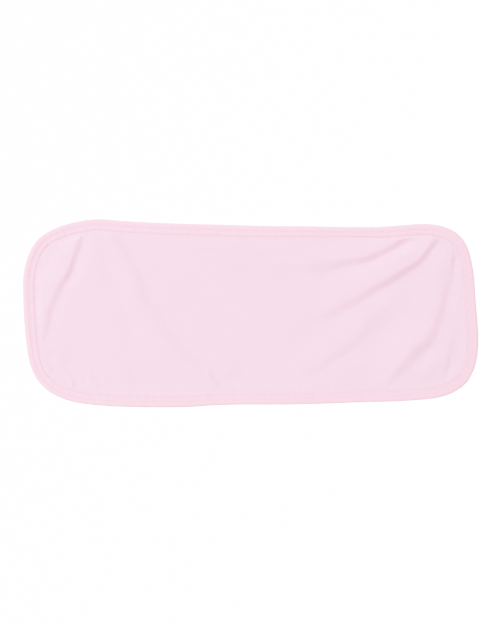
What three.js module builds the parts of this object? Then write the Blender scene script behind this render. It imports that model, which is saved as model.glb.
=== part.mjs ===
// Burp cloth: an oblong baby cloth with round ends, laid out face up, as it falls after hanging from
// its two top corners. Its raw edge is wrapped all round in a folded binding.
// Millimetres, +Z up. The origin is on the surface below the middle of the cloth.

import * as THREE from 'three';

// Overall size
const LENGTH = 520;
const WIDTH = 215;

// Cloth panel: one knitted sheet, pressed thinner where the binding grips it
const PANEL_THICK = 2.0;
const GRIPPED_THICK = 1.5;

// Binding: a strip folded over the edge, with a small gap to the panel all round
const STRIP_THICK = 0.8;
const GAP = 0.3;
const EDGE_ROUND = 1.9;
const EDGE_SHOULDER_IN = 0.35;
const EDGE_SHOULDER_UP = 0.75;
const PUFF = 0.2;
const OUTER_ROW_INSET = 5.4;
const INNER_ROW_FROM_LIP = 1.0;
const ROW_DIP = 0.4;

// Heights of the layers at the edge, worked out from the bottom up
const SLOT_FLOOR = STRIP_THICK;
const GRIPPED_LOW = SLOT_FLOOR + GAP;
const GRIPPED_HIGH = GRIPPED_LOW + GRIPPED_THICK;
const SLOT_ROOF = GRIPPED_HIGH + GAP;
const BINDING_TOP = SLOT_ROOF + STRIP_THICK + PUFF;

// How the panel leaves the binding and settles on the surface
const LIP_CLEARANCE = 0.6;
const SHOULDER = 6;
const SETTLE_BASE = 14;
const SETTLE_PER_LIFT = 4;
const ROLL_CARRY = 0.5;
const FOLD_FREE_MARGIN = 9;

// Mesh steps: cells along the length and across the width
const CELLS_LONG = 70;
const CELLS_WIDE = 28;
const STATIONS = 2 * (CELLS_LONG + CELLS_WIDE);
const OUTLINE_START = 0;
const SETTLING_PASSES = 400;
const HEIGHT_WEIGHT = 8;

// Outline of the cloth as it lies, clockwise from the top left hold point. Columns: x, y
const OUTLINE = {
  top: [
    [-178, 107.5], [-143, 105.5], [-114, 103.8], [-70, 102.3], [-26, 101.2], [10, 100.1],
    [62, 99.6], [120, 98.7], [150, 99], [179, 101.2], [195, 102.2],
  ],
  rightEnd: [
    [211, 101.3], [226, 97.3], [238, 90], [246.5, 79], [254, 54], [258, 10],
    [260.6, -27], [259.6, -48], [255.5, -65], [247, -80], [234, -90], [216, -96.7],
  ],
  bottom: [
    [197, -99.4], [168, -101.3], [124, -102.5], [58, -104.8], [-15, -105.2], [-43, -106],
    [-72, -107.9], [-124, -108], [-168, -106.4], [-197, -103],
  ],
  leftEnd: [
    [-213, -98.7], [-230, -90], [-243, -77], [-251.3, -59], [-256, -32], [-259.4, 18],
    [-259.1, 42], [-254.5, 63], [-245, 81.5], [-231, 93], [-210, 101.7],
  ],
};

// Binding round the edge: the width that shows on the face and the roll of the edge, in degrees.
// along runs clockwise from the top left hold point and back to it.
const RIM = [
  { place: 'top left hold', along: 0, width: 12.8, roll: 1.5 },
  { place: 'top middle', along: 0.16, width: 12.2, roll: 1.5 },
  { place: 'right hold', along: 0.28, width: 12.0, roll: 2 },
  { place: 'top right corner', along: 0.33, width: 12.4, roll: 3 },
  { place: 'right end', along: 0.41, width: 12.8, roll: 3 },
  { place: 'bottom right corner', along: 0.47, width: 12.6, roll: 3 },
  { place: 'bottom, right of middle', along: 0.6, width: 12.4, roll: 3 },
  { place: 'bottom, left of middle', along: 0.74, width: 12.6, roll: 4 },
  { place: 'bottom left corner', along: 0.82, width: 12.8, roll: 2.5 },
  { place: 'left end', along: 0.91, width: 12.8, roll: 1.5 },
  { place: 'top left hold', along: 1, width: 12.8, roll: 1.5 },
];

// Folds: each path follows the middle of a fold's wall, from its hold point on. Someone walking it
// has the ridge on the near side, their right, and the crease at the wall's foot on the left. From
// the crease the far side climbs again, to a share of the wall's rise. Both sides sink over their
// tails. Columns of a path: x, y, rise, run of the wall
const FOLDS = [
  {
    name: 'left end crease',
    path: [
      [-188, 98, 1.2, 9], [-191, 89, 1.8, 9.5], [-203, 55, 1.9, 9.5], [-216, 28, 2.0, 12],
      [-229, -3, 1.4, 11], [-235, -27, 0.6, 9], [-238, -44, 0, 9],
    ],
    far: { share: 0.3, run: 12, tail: 34 },
    nearTail: 20,
  },
  {
    name: 'left sweep',
    path: [
      [-160, 100, 0.5, 12], [-153, 89, 0.8, 13], [-130, 47, 1.6, 14], [-111, 9, 1.6, 18],
      [-87, -34, 1.4, 18], [-60, -58, 0.9, 14], [-37, -78, 0.6, 12], [-28, -90, 0, 12],
    ],
    far: { share: 0.25, run: 16, tail: 40 },
    nearTail: 34,
  },
  {
    name: 'left pleat',
    path: [
      [-178, 92, 0.4, 14], [-175, 81, 0.6, 16], [-167, 41, 0.6, 16], [-154, 0, 0.7, 16],
      [-142, -40, 0.9, 16], [-135, -70, 0.3, 14], [-132, -84, 0, 14],
    ],
    far: { share: 0.3, run: 12, tail: 24 },
    nearTail: 30,
  },
  {
    name: 'right upper crease',
    path: [
      [206, 93, 1.2, 7], [196, 90, 1.8, 7.5], [163, 76, 2.5, 8.5], [137, 63, 2.7, 10],
      [106, 56, 2.5, 12], [76, 52, 1.9, 15], [45, 52, 1.1, 17], [25, 52, 0, 17],
    ],
    far: { share: 0.25, run: 14, tail: 26 },
    nearTail: 30,
  },
  {
    name: 'right main crease',
    path: [
      [224, 95, 2.0, 11], [217, 87, 3.0, 12], [190, 57, 3.8, 13.5], [163, 38, 3.8, 14],
      [129, 19, 3.3, 14], [99, 3, 2.2, 18], [76, -11, 1.3, 17], [50, -25, 0, 16],
    ],
    far: { share: 0.25, run: 16, tail: 40 },
    nearTail: 34,
  },
  {
    name: 'right end crease',
    path: [
      [238, 84, 0.6, 8], [237, 72, 1.1, 9], [230, 40, 1.4, 14], [218.5, 1.5, 1.6, 14],
      [206, -29.5, 2.4, 16], [190, -48, 2.7, 17], [172, -67, 1.9, 13], [158, -82, 1.0, 12],
      [150, -91, 0, 12],
    ],
    far: { share: 0.3, run: 14, tail: 24 },
    nearTail: 36,
  },
  {
    name: 'right lower crease',
    path: [
      [168, 11, 0, 16], [160, 4, 0.4, 18], [137, -17, 0.9, 17], [114, -40, 1.2, 12],
      [91, -55, 1.1, 12], [66, -70, 0.8, 13], [45, -83, 0, 13],
    ],
    far: { share: 0.3, run: 16, tail: 30 },
    nearTail: 30,
  },
  {
    name: 'bottom left pucker',
    path: [
      [-234, -32, 0, 8], [-231, -44, 0.8, 8], [-225, -66, 0.9, 8], [-205, -84, 0.6, 8],
      [-194, -90, 0, 8],
    ],
    far: { share: 0.4, run: 8, tail: 14 },
    nearTail: 10,
  },
];
const FOLD_STEPS = 30;

// A smooth step from 0 to 1
function smooth(t) {
  const s = THREE.MathUtils.clamp(t, 0, 1);
  return s * s * (3 - 2 * s);
}

// The closed outline, moved and scaled a little so that it spans exactly LENGTH by WIDTH
function outlineCurve() {
  const knots = Object.values(OUTLINE).flat().map(([x, y]) => new THREE.Vector3(x, y, 0));
  const box = new THREE.Box3().setFromPoints(closedCurve(knots).getSpacedPoints(1200));
  const centre = box.getCenter(new THREE.Vector3());
  const size = box.getSize(new THREE.Vector3());
  const fitted = knots.map((knot) => new THREE.Vector3(
    (knot.x - centre.x) * LENGTH / size.x,
    (knot.y - centre.y) * WIDTH / size.y,
    0,
  ));
  return closedCurve(fitted);
}

function closedCurve(knots) {
  const curve = new THREE.CatmullRomCurve3(knots, true, 'centripetal');
  curve.arcLengthDivisions = 2000;
  return curve;
}

// Binding width and roll at a place along the edge, eased between the rows of RIM
function rimAt(along) {
  const place = THREE.MathUtils.euclideanModulo(along, 1);
  const next = Math.max(1, RIM.findIndex((row) => row.along >= place));
  const from = RIM[next - 1];
  const to = RIM[next];
  const part = smooth((place - from.along) / (to.along - from.along));
  return {
    width: THREE.MathUtils.lerp(from.width, to.width, part),
    roll: THREE.MathUtils.degToRad(THREE.MathUtils.lerp(from.roll, to.roll, part)),
  };
}

// Cross-section of the binding as [inset from the edge, height], from the lip under the cloth,
// round the outside and over the top, and back through the slot that holds the panel
function bindingSection(width) {
  const innerRow = width - INNER_ROW_FROM_LIP;
  const slotEnd = STRIP_THICK + GAP;
  return [
    [width, 0],
    [EDGE_ROUND, 0],
    [EDGE_SHOULDER_IN, EDGE_SHOULDER_UP],
    [0, BINDING_TOP / 2],
    [EDGE_SHOULDER_IN, BINDING_TOP - EDGE_SHOULDER_UP],
    [EDGE_ROUND, BINDING_TOP],
    [OUTER_ROW_INSET, BINDING_TOP - ROW_DIP],
    [(OUTER_ROW_INSET + innerRow) / 2, BINDING_TOP],
    [innerRow, BINDING_TOP - ROW_DIP],
    [width, BINDING_TOP - ROW_DIP],
    [width, SLOT_ROOF],
    [slotEnd, SLOT_ROOF],
    [slotEnd, SLOT_FLOOR],
    [width, SLOT_FLOOR],
  ];
}

// One place on the edge. place() turns a point of the section by the roll of the edge and puts it
// there, so that the outermost point lies on the outline and the lowest on the surface.
function edgeStation(curve, index) {
  const along = index / STATIONS;
  const u = THREE.MathUtils.euclideanModulo(OUTLINE_START + along, 1);
  const point = curve.getPointAt(u);
  const tangent = curve.getTangentAt(u);
  const inward = new THREE.Vector3(tangent.y, -tangent.x, 0).normalize();
  const { width, roll } = rimAt(along);
  const cos = Math.cos(roll);
  const sin = Math.sin(roll);
  const section = bindingSection(width);
  const shiftIn = -Math.min(...section.map(([inset, z]) => inset * cos - z * sin));
  const shiftUp = -Math.min(...section.map(([inset, z]) => inset * sin + z * cos));
  const place = (inset, z) => new THREE.Vector3(
    point.x + inward.x * (inset * cos - z * sin + shiftIn),
    point.y + inward.y * (inset * cos - z * sin + shiftIn),
    inset * sin + z * cos + shiftUp,
  );
  return { along, inward, width, roll, section, place };
}

// Nearest point of a polyline: its distance, the side it is passed on (+1 left, -1 right), and how
// far along the line it is, from 0 to 1
function nearestOnLine(line, x, y) {
  let best = { distance: Infinity, side: 1, along: 0 };
  for (let i = 0; i < line.length - 1; i += 1) {
    const dx = line[i + 1].x - line[i].x;
    const dy = line[i + 1].y - line[i].y;
    const px = x - line[i].x;
    const py = y - line[i].y;
    const t = THREE.MathUtils.clamp((px * dx + py * dy) / (dx * dx + dy * dy), 0, 1);
    const distance = Math.hypot(px - t * dx, py - t * dy);
    if (distance < best.distance) {
      best = { distance, side: Math.sign(dx * py - dy * px) || 1, along: (i + t) / (line.length - 1) };
    }
  }
  return best;
}

// Points along each fold, evenly spaced, with the rise and run of the wall at each
const foldLines = FOLDS.map(({ path }) => {
  const plan = curveThrough(path.map(([x, y]) => [x, y]));
  const wall = curveThrough(path.map(([, , rise, run]) => [rise, run]));
  return Array.from({ length: FOLD_STEPS + 1 }, (_, i) => {
    const t = plan.getUtoTmapping(i / FOLD_STEPS);
    const { x, y } = plan.getPoint(t);
    const { x: rise, y: run } = wall.getPoint(t);
    return { x, y, rise, run };
  });
});

function curveThrough(rows) {
  const knots = rows.map(([x, y]) => new THREE.Vector3(x, y, 0));
  return new THREE.CatmullRomCurve3(knots, false, 'centripetal');
}

// Height that the folds lift the cloth by at a point
function foldRise(x, y) {
  let total = 0;
  FOLDS.forEach(({ far, nearTail }, index) => {
    const line = foldLines[index];
    const { distance, side, along } = nearestOnLine(line, x, y);
    const step = Math.min(Math.floor(along * FOLD_STEPS), FOLD_STEPS - 1);
    const part = along * FOLD_STEPS - step;
    const rise = Math.max(0, THREE.MathUtils.lerp(line[step].rise, line[step + 1].rise, part));
    const run = THREE.MathUtils.lerp(line[step].run, line[step + 1].run, part);
    const fromCrease = side * distance - run / 2;
    total += fromCrease < 0
      ? rise * hump(-fromCrease, run, nearTail)
      : rise * far.share * hump(fromCrease, far.run, far.tail);
  });
  return total;
}

// A smooth climb to 1 over the run and a smooth fall back to 0 over the tail
function hump(across, run, tail) {
  return smooth(across / run) * (1 - smooth((across - run) / tail));
}

// Height of the panel's underside. From the binding it comes down to the surface in a soft roll,
// longer where the edge lifts it higher; farther in, only the folds raise it.
function undersideHeight(lipLine, x, y) {
  const lip = nearestOnLine(lipLine, x, y);
  const { roll } = rimAt(lip.along);
  const lift = lipLift(lip.along);
  const reach = SETTLE_BASE + SETTLE_PER_LIFT * lift;
  const s = Math.min(lip.distance / reach, 1);
  const settle = lift * (1 - smooth(s));
  const carry = ROLL_CARRY * Math.tan(roll) * reach * s * (1 - s) * (1 - s);
  return settle + carry + foldRise(x, y) * smooth(lip.distance / FOLD_FREE_MARGIN);
}

// Height at which the panel's underside leaves the binding
function lipLift(along) {
  const { width, roll } = rimAt(along);
  return (width + LIP_CLEARANCE) * Math.sin(roll) + GRIPPED_LOW * Math.cos(roll);
}

// A closed mesh from corner points and triangles
function solidGeometry(points, triangles) {
  const geometry = new THREE.BufferGeometry();
  const flat = points.flatMap((p) => [p.x, p.y, p.z]);
  geometry.setAttribute('position', new THREE.Float32BufferAttribute(flat, 3));
  geometry.setIndex(triangles.flat());
  geometry.computeVertexNormals();
  return geometry;
}

// Binding: the sections at all stations, joined into a closed ring
function bindingGeometry(stations) {
  const points = stations.flatMap((station) => (
    station.section.map(([inset, z]) => station.place(inset, z))
  ));
  const count = stations[0].section.length;
  const triangles = [];
  for (let i = 0; i < STATIONS; i += 1) {
    const here = i * count;
    const there = ((i + 1) % STATIONS) * count;
    for (let j = 0; j < count; j += 1) {
      const k = (j + 1) % count;
      triangles.push([here + j, here + k, there + k]);
      triangles.push([here + j, there + k, there + j]);
    }
  }
  return solidGeometry(points, triangles);
}

// Places of the panel's inner points: a grid hung from the shoulder line, each point settled at the
// mean of its four neighbours
function settledGrid(shoulderLine) {
  const grid = [];
  for (let q = 0; q <= CELLS_WIDE; q += 1) {
    grid.push([]);
    for (let p = 0; p <= CELLS_LONG; p += 1) {
      const station = borderStation(p, q);
      const top = shoulderLine[p];
      const bottom = shoulderLine[2 * CELLS_LONG + CELLS_WIDE - p];
      const between = top.clone().lerp(bottom, q / CELLS_WIDE);
      grid[q].push(station === null ? between : shoulderLine[station].clone());
    }
  }
  for (let pass = 0; pass < SETTLING_PASSES; pass += 1) {
    for (let q = 1; q < CELLS_WIDE; q += 1) {
      for (let p = 1; p < CELLS_LONG; p += 1) {
        grid[q][p].copy(grid[q - 1][p]).add(grid[q + 1][p]).add(grid[q][p - 1]).add(grid[q][p + 1]);
        grid[q][p].multiplyScalar(0.25);
      }
    }
  }
  return grid;
}

// Station that a border point of the grid shares, or null for an inner point
function borderStation(p, q) {
  if (q === 0) return p;
  if (p === CELLS_LONG) return CELLS_LONG + q;
  if (q === CELLS_WIDE) return 2 * CELLS_LONG + CELLS_WIDE - p;
  if (p === 0) return STATIONS - q;
  return null;
}

// Panel: three lines of points near the edge and the settled grid inside them, each point with a
// lower and an upper place
function panelGeometry(stations) {
  const slotEnd = STRIP_THICK + 2 * GAP;
  const edge = stations.map((s) => [s.place(slotEnd, GRIPPED_LOW), s.place(slotEnd, GRIPPED_HIGH)]);
  const lip = stations.map((s) => [
    s.place(s.width + LIP_CLEARANCE, GRIPPED_LOW),
    s.place(s.width + LIP_CLEARANCE, GRIPPED_HIGH),
  ]);
  const lipLine = [...lip, lip[0]].map(([low]) => new THREE.Vector2(low.x, low.y));
  const freePoint = (x, y) => {
    const low = undersideHeight(lipLine, x, y);
    return [new THREE.Vector3(x, y, low), new THREE.Vector3(x, y, low + PANEL_THICK)];
  };
  const shoulderLine = stations.map((s, i) => (
    new THREE.Vector2(lipLine[i].x + s.inward.x * SHOULDER, lipLine[i].y + s.inward.y * SHOULDER)
  ));
  const shoulder = shoulderLine.map((p) => freePoint(p.x, p.y));
  const sheet = [...edge, ...lip, ...shoulder];
  const grid = settledGrid(shoulderLine);
  const ids = grid.map((row, q) => row.map((point, p) => {
    const station = borderStation(p, q);
    if (station !== null) return 2 * STATIONS + (station % STATIONS);
    sheet.push(freePoint(point.x, point.y));
    return sheet.length - 1;
  }));

  const cells = [];
  for (let line = 0; line < 2; line += 1) {
    for (let i = 0; i < STATIONS; i += 1) {
      const j = (i + 1) % STATIONS;
      const outer = line * STATIONS;
      cells.push([outer + i, outer + j, outer + STATIONS + j, outer + STATIONS + i]);
    }
  }
  for (let q = 0; q < CELLS_WIDE; q += 1) {
    for (let p = 0; p < CELLS_LONG; p += 1) {
      cells.push([ids[q][p], ids[q][p + 1], ids[q + 1][p + 1], ids[q + 1][p]]);
    }
  }
  return sheetGeometry(sheet, cells);
}

// A sheet from four-cornered cells, clockwise from above: its upper and lower faces and its edge.
// A cell is split along its shorter and flatter diagonal, the same one above and below.
function sheetGeometry(sheet, cells) {
  const count = sheet.length;
  const points = [...sheet.map(([, high]) => high), ...sheet.map(([low]) => low)];
  const cost = (a, b) => (
    Math.hypot(points[a].x - points[b].x, points[a].y - points[b].y)
    + HEIGHT_WEIGHT * Math.abs(points[a].z - points[b].z)
  );
  const triangles = [];
  for (const [a, b, c, d] of cells) {
    const halves = cost(a, c) < cost(b, d) ? [[a, d, c], [a, c, b]] : [[a, d, b], [d, c, b]];
    for (const [k, l, m] of halves) {
      triangles.push([k, l, m]);
      triangles.push([count + m, count + l, count + k]);
    }
  }
  for (let i = 0; i < STATIONS; i += 1) {
    const j = (i + 1) % STATIONS;
    triangles.push([i, j, count + j]);
    triangles.push([i, count + j, count + i]);
  }
  return solidGeometry(points, triangles);
}

function cottonMaterial(colour) {
  return new THREE.MeshStandardMaterial({ color: colour, roughness: 0.95, metalness: 0 });
}

function namedPiece(name, geometry, colour) {
  const piece = new THREE.Mesh(geometry, cottonMaterial(colour));
  piece.name = name;
  return piece;
}

const curve = outlineCurve();
const stations = Array.from({ length: STATIONS }, (_, index) => edgeStation(curve, index));

const group = new THREE.Group();
group.add(namedPiece('cloth_panel', panelGeometry(stations), 0xf7dfec));
group.add(namedPiece('edge_binding', bindingGeometry(stations), 0xf8dde9));

export default group;
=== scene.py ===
"""Burp cloth: a pale pink knitted cloth with round ends and a stitched binding, laid out face up.

The panel, the binding and the stitching are surfaces worked out from named sizes and short tables.
Lengths inside the functions are in millimetres, and meshes are written in metres.
"""

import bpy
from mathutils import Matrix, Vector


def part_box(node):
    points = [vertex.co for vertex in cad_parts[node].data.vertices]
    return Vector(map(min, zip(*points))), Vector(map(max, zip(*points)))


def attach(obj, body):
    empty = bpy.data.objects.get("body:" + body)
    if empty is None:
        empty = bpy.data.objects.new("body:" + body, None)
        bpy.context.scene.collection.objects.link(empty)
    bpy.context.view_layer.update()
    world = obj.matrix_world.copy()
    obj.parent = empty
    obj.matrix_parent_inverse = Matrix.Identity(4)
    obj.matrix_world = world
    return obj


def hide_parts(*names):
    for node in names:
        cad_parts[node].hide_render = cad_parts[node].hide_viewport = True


bl_info = {
    "name": "Burp cloth",
    "version": (1, 0, 0),
    "blender": (4, 5, 0),
    "location": "View3D > Sidebar > Cloth",
    "description": "Makes a bound, knitted burp cloth as it lies, with its stitching and a studio",
    "category": "Add Mesh",
}

import bpy
import numpy as np
from bpy.props import FloatProperty, FloatVectorProperty, IntProperty, PointerProperty

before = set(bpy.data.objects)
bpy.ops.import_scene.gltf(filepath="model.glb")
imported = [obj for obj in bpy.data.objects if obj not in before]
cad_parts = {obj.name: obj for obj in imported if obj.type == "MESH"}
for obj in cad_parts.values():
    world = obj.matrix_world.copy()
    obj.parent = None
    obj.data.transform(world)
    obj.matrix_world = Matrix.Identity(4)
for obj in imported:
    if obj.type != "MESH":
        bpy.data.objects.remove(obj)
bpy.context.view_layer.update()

MM = 0.001
TURN = 2 * np.pi

# Size of the cloth as it lies, read from the frame
EDGE_LOW, EDGE_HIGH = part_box("edge_binding")
LENGTH = (EDGE_HIGH.x - EDGE_LOW.x) / MM
WIDTH = (EDGE_HIGH.y - EDGE_LOW.y) / MM

# Thickness of the panel where the binding grips it, of the binding's strip, and of the air between
GRIPPED_THICK = 1.9
STRIP_THICK = 0.24
GAP = 0.05

# Layers in the binding, from the bottom up, and the inset at which its slot ends
SLOT_FLOOR = STRIP_THICK
GRIPPED_LOW = SLOT_FLOOR + GAP
GRIPPED_HIGH = GRIPPED_LOW + GRIPPED_THICK
SLOT_ROOF = GRIPPED_HIGH + GAP
BINDING_TOP = SLOT_ROOF + STRIP_THICK
SLOT_END = STRIP_THICK + GAP

# Face of the binding, from the outer edge in: the depth of its round edge, the bead that steps down
# at the outer row, the dips of the two rows, the puff between them, the fall to the lip, and the
# share of the puckers that shows all over and more on the puff
EDGE_ROUND = 2.2
EDGE_POINTS = 13
OUTER_ROW_INSET = 6.4
INNER_ROW_FROM_LIP = 1.0
STEP_BEFORE_ROW = 2.0
STEP_RUN = 4
STEP_RUN_PER_BEAD = 5
LOW_BEAD = 0.3
DIP_HALF = 0.6
PUFF_HALF = 2.2
LIP_FALL = 0.08
LIP_FALL_BEFORE_ROW = 0.3
LIP_FALL_RUN = 1.0
PUCKER_ALL_OVER = 0.3
PUCKER_ON_PUFF = 0.9

# Stitches on the face: how deep their ends are sunk, the height and power of their bow, how thin
# they are at the ends, the share of a stitch left open at each end, and how far a row wanders
STITCH_SUNK = 0.18
STITCH_BOW = 0.23
STITCH_BOW_POWER = 0.4
STITCH_END_SHARE = 0.7
STITCH_APART = 0.02
ROW_WANDER = 0.05
ROW_WANDER_WAVES = 37

# Underside of the binding: the hollow that leaves room for the looping thread, how far it reaches
# past the outer and the inner row and the run of its walls there, the thread's radius and height,
# and its steps in a stitch
HOLLOW = 0.28
HOLLOW_PAST_OUTER = 1.2
HOLLOW_OUTER_RUN = 0.6
HOLLOW_PAST_INNER = 0.9
HOLLOW_INNER_RUN = 0.5
LOOPER_RADIUS = 0.11
LOOPER_HEIGHT = 0.14
LOOPER_STEPS = 8

# How the panel leaves the binding and settles on the surface: its gap to the lip, the length in
# which it comes down, with more for each millimetre of lift, the share of the edge's roll that it
# carries on, and the lengths in which its full thickness and its swells set in
LIP_CLEARANCE = 0.04
SETTLE_BASE = 15
SETTLE_PER_LIFT = 4
ROLL_CARRY = 0.2
FACE_EASE = 1.2
SWELL_EASE = 30

# Strip beside the lip in which the folds grow, and where it widens on the way to the left end
FOLD_FREE_RIGHT = 3.5
FOLD_FREE_LEFT = 9
LEFT_FROM = -150
LEFT_RUN = 60

# Lines of the panel's cells: the inner one in the slot, as a share of the binding's width, and the
# ones beside the lip, by their distance from it. The last is the steps in which the lip is measured
GRIPPED_MIDDLE = 0.45
BESIDE_LIP = np.array([0.0, 0.25, 0.6, 1.6, 2.6, 3.8, 5.2, 6.8, 8.6, 10.6, 13])
LIP_STEPS = 800

# Outline of the cloth as it lies, clockwise from the top left hold point. Columns: x, y
OUTLINE = {
    "top": (
        (-178, 107.5), (-143, 105.5), (-114, 103.8), (-70, 102.3), (-26, 101.2), (10, 100.1),
        (62, 99.6), (120, 98.7), (150, 99), (179, 101.2), (195, 102.2),
    ),
    "right end": (
        (211, 101.3), (226, 97.3), (238, 90), (246.5, 79), (254, 54), (258, 10),
        (260.6, -27), (259.6, -48), (255.5, -65), (247, -80), (234, -90), (216, -96.7),
    ),
    "bottom": (
        (197, -99.4), (168, -101.3), (124, -102.5), (58, -104.8), (-15, -105.2), (-43, -106),
        (-72, -107.9), (-124, -108), (-168, -106.4), (-197, -103),
    ),
    "left end": (
        (-213, -98.7), (-230, -90), (-243, -77), (-251.3, -59), (-256, -32), (-259.4, 18),
        (-259.1, 42), (-254.5, 63), (-245, 81.5), (-231, 93), (-210, 101.7),
    ),
}

# Binding round the edge, clockwise from the top left hold point: how far along, the width that
# shows on the face, the roll of the edge in degrees and the height of the bead outside the rows
RIM = (
    ("top left hold", 0.0, 13.1, 0.8, 0.34),
    ("top middle", 0.15, 13.0, 1.2, 0.36),
    ("top, right of middle", 0.215, 11.8, 1.4, 0.4),
    ("right hold", 0.27, 12.8, 2.2, 0.38),
    ("top right corner", 0.33, 12.8, 2.6, 0.32),
    ("right end", 0.41, 13.0, 2.6, 0.24),
    ("bottom right corner", 0.47, 12.8, 1.8, 0.34),
    ("bottom, right of middle", 0.6, 12.6, 1.8, 0.26),
    ("bottom, left of middle", 0.74, 12.8, 2.4, 0.26),
    ("bottom left corner", 0.82, 13.2, 1.6, 0.42),
    ("left end", 0.91, 13.5, 0.3, 0.6),
    ("top left hold", 1.0, 13.1, 0.8, 0.34),
)

# Folds: each path follows the middle of a fold's wall, from its hold point on. Someone walking it
# has the ridge on the right and the crease at the wall's foot on the left. From the crease the far
# side climbs again, to a share of the wall's rise. Both sides sink over their tails.
# Columns: name, tail of the ridge, far side (share, run, tail), path (x, y, rise, run of the wall)
FOLDS = (
    ("left end crease", 36, (0.3, 12, 34), (
        (-188, 98, 1.1, 7), (-191, 89, 1.5, 7.5), (-203, 55, 2.4, 8), (-216, 28, 2.1, 9.5),
        (-229, -3, 1.6, 9.5), (-235, -27, 1.25, 9), (-238, -44, 0.7, 9), (-238, -56, 0, 9))),
    ("left sweep", 34, (0.25, 16, 40), (
        (-160, 100, 0.9, 12), (-153, 89, 1.2, 13), (-130, 47, 1.3, 14), (-111, 9, 1.4, 18),
        (-87, -34, 1.4, 18), (-60, -58, 1.1, 14), (-37, -78, 0.8, 12), (-28, -90, 0, 12))),
    ("left pleat", 30, (0.3, 12, 24), (
        (-178, 92, 0.9, 14), (-175, 81, 0.9, 16), (-167, 41, 0.6, 16), (-154, 0, 0.7, 16),
        (-142, -40, 0.9, 16), (-135, -70, 0.3, 14), (-132, -84, 0, 14))),
    ("right upper crease", 30, (0.25, 14, 26), (
        (206, 93, 1.5, 7), (196, 90, 2.1, 7.5), (163, 76, 3.2, 8.5), (137, 63, 3.3, 10),
        (106, 56, 2.9, 12), (76, 52, 2.1, 15), (45, 52, 1.2, 17), (25, 52, 0, 17))),
    ("right main crease", 34, (0.25, 16, 40), (
        (224, 95, 1.3, 7.5), (217, 87, 1.9, 8), (190, 57, 2.8, 9.5), (163, 38, 2.8, 10.5),
        (129, 19, 2.6, 12), (99, 3, 1.5, 14), (76, -11, 0.7, 15), (50, -25, 0, 15))),
    ("right end crease", 36, (0.3, 14, 24), (
        (235, 74, 0.4, 5), (232, 61, 1.6, 5.5), (229, 40, 0.9, 9), (218.5, 1.5, 1.7, 12),
        (206, -29.5, 2.8, 15), (190, -48, 2.9, 16), (172, -67, 2.1, 13), (158, -82, 0.8, 12),
        (150, -91, 0, 12))),
    ("right lower crease", 30, (0.3, 16, 30), (
        (168, 11, 0, 16), (160, 4, 0.4, 18), (137, -17, 0.9, 17), (114, -40, 1.25, 12),
        (91, -55, 1.1, 12), (66, -70, 0.7, 13), (45, -83, 0, 13))),
    ("bottom left pucker", 10, (0.4, 8, 14), (
        (-236, -48, 0, 7), (-231, -60, 1.9, 7), (-221, -77, 2.1, 7), (-210, -87, 1.3, 7),
        (-200, -92, 0, 7))),
)

# Small creases that only the cloth's fine surface has, in the same columns
FINE_FOLDS = (
    ("upper left nick", 10, (0.3, 5, 10), (
        (-212, 88, 0, 4), (-222, 74, 0.35, 5), (-232, 60, 0.35, 5), (-238, 44, 0, 5))),
    ("lower left hollow", 5, (0.4, 5, 8), (
        (-233, -34, 0, 4), (-229, -43, 0.5, 5), (-226, -52, 0, 4))),
    ("lower left dimple", 6, (0.5, 5, 8), (
        (-207, -68, 0, 4), (-202.5, -77, 0.7, 4), (-199, -85, 0.6, 4), (-197, -92, 0, 4))),
    ("lower left nick", 8, (0.4, 5, 10), (
        (-186, -58, 0, 5), (-181.5, -71, 0.5, 5), (-175, -79, 0.6, 5), (-171, -90, 0, 5))),
    ("bottom nick", 8, (0.4, 6, 10), (
        (-50, -56, 0, 6), (-43, -70, 0.45, 6), (-31, -90, 0, 5))),
    ("lower right nick", 10, (0.4, 6, 10), (
        (229, -40, 0, 4), (227, -53, 0.45, 4), (223.5, -68, 0.45, 4), (221, -79, 0, 4))),
    ("right hold nick", 12, (0.3, 8, 14), (
        (212, 88, 0, 6), (184, 68, 0.5, 8), (150, 50, 0.35, 9), (118, 40, 0, 9))),
    ("right end nick", 12, (0.3, 7, 10), (
        (243, 46, 0, 7), (241, 20, 0.2, 8), (236, -12, 0, 8))),
    ("left ridge", 16, (0.2, 10, 18), (
        (-172, 78, 0, 10), (-161, 48, 0.35, 11), (-138, -17, 0.5, 12), (-119, -55, 0.3, 12),
        (-103, -80, 0, 12))),
    ("top middle hollow", 9, (0.2, 12, 20), (
        (-92, 84, 0, 10), (-50, 82, 0.5, 10), (10, 80, 0.6, 11), (60, 80, 0.4, 10), (90, 82, 0, 9))),
    ("bottom hollow", 12, (0.2, 14, 20), (
        (190, -86, 0, 10), (140, -86, 0.35, 12), (60, -86, 0.3, 12), (-20, -88, 0, 12))),
)

# Steps of a fold's path, and how softly a fold rises out of the settled cloth
FOLD_STEPS = 40
FOLD_EASE = 0.4

# Unevenness of the folds: how far a crease wanders and its waves, the share of the second wave, the
# share of its length over which it starts to wander, and how much its height varies
FOLD_WANDER = 0.8
WANDER_WAVES = (2.3, 5.1)
SECOND_WAVE = 0.6
WANDER_START = 0.2
FOLD_UNEVEN = 0.1
UNEVEN_WAVES = 3.4

# Broad swells of the whole cloth: wavelength, direction in degrees, height, phase in turns
SWELLS = (
    (150, 20, 0.30, 0.10),
    (96, 112, 0.22, 0.45),
    (61, 64, 0.14, 0.80),
    (43, -28, 0.10, 0.30),
)

# Puckers along the stitching: waves round the whole edge, height, slant in turns a millimetre
PUCKERS = (
    (71, 0.045, 0.012),
    (118, 0.045, -0.020),
    (157, 0.040, 0.026),
    (203, 0.035, -0.014),
    (269, 0.025, 0.031),
)

# How far the puckers drift, in turns, and how they start and die out on the panel
PUCKER_DRIFT = 0.8
PANEL_PUCKER_START = 1.5
PANEL_PUCKER_REACH = 5.5
PANEL_PUCKER_SHARE = 1.3

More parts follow.
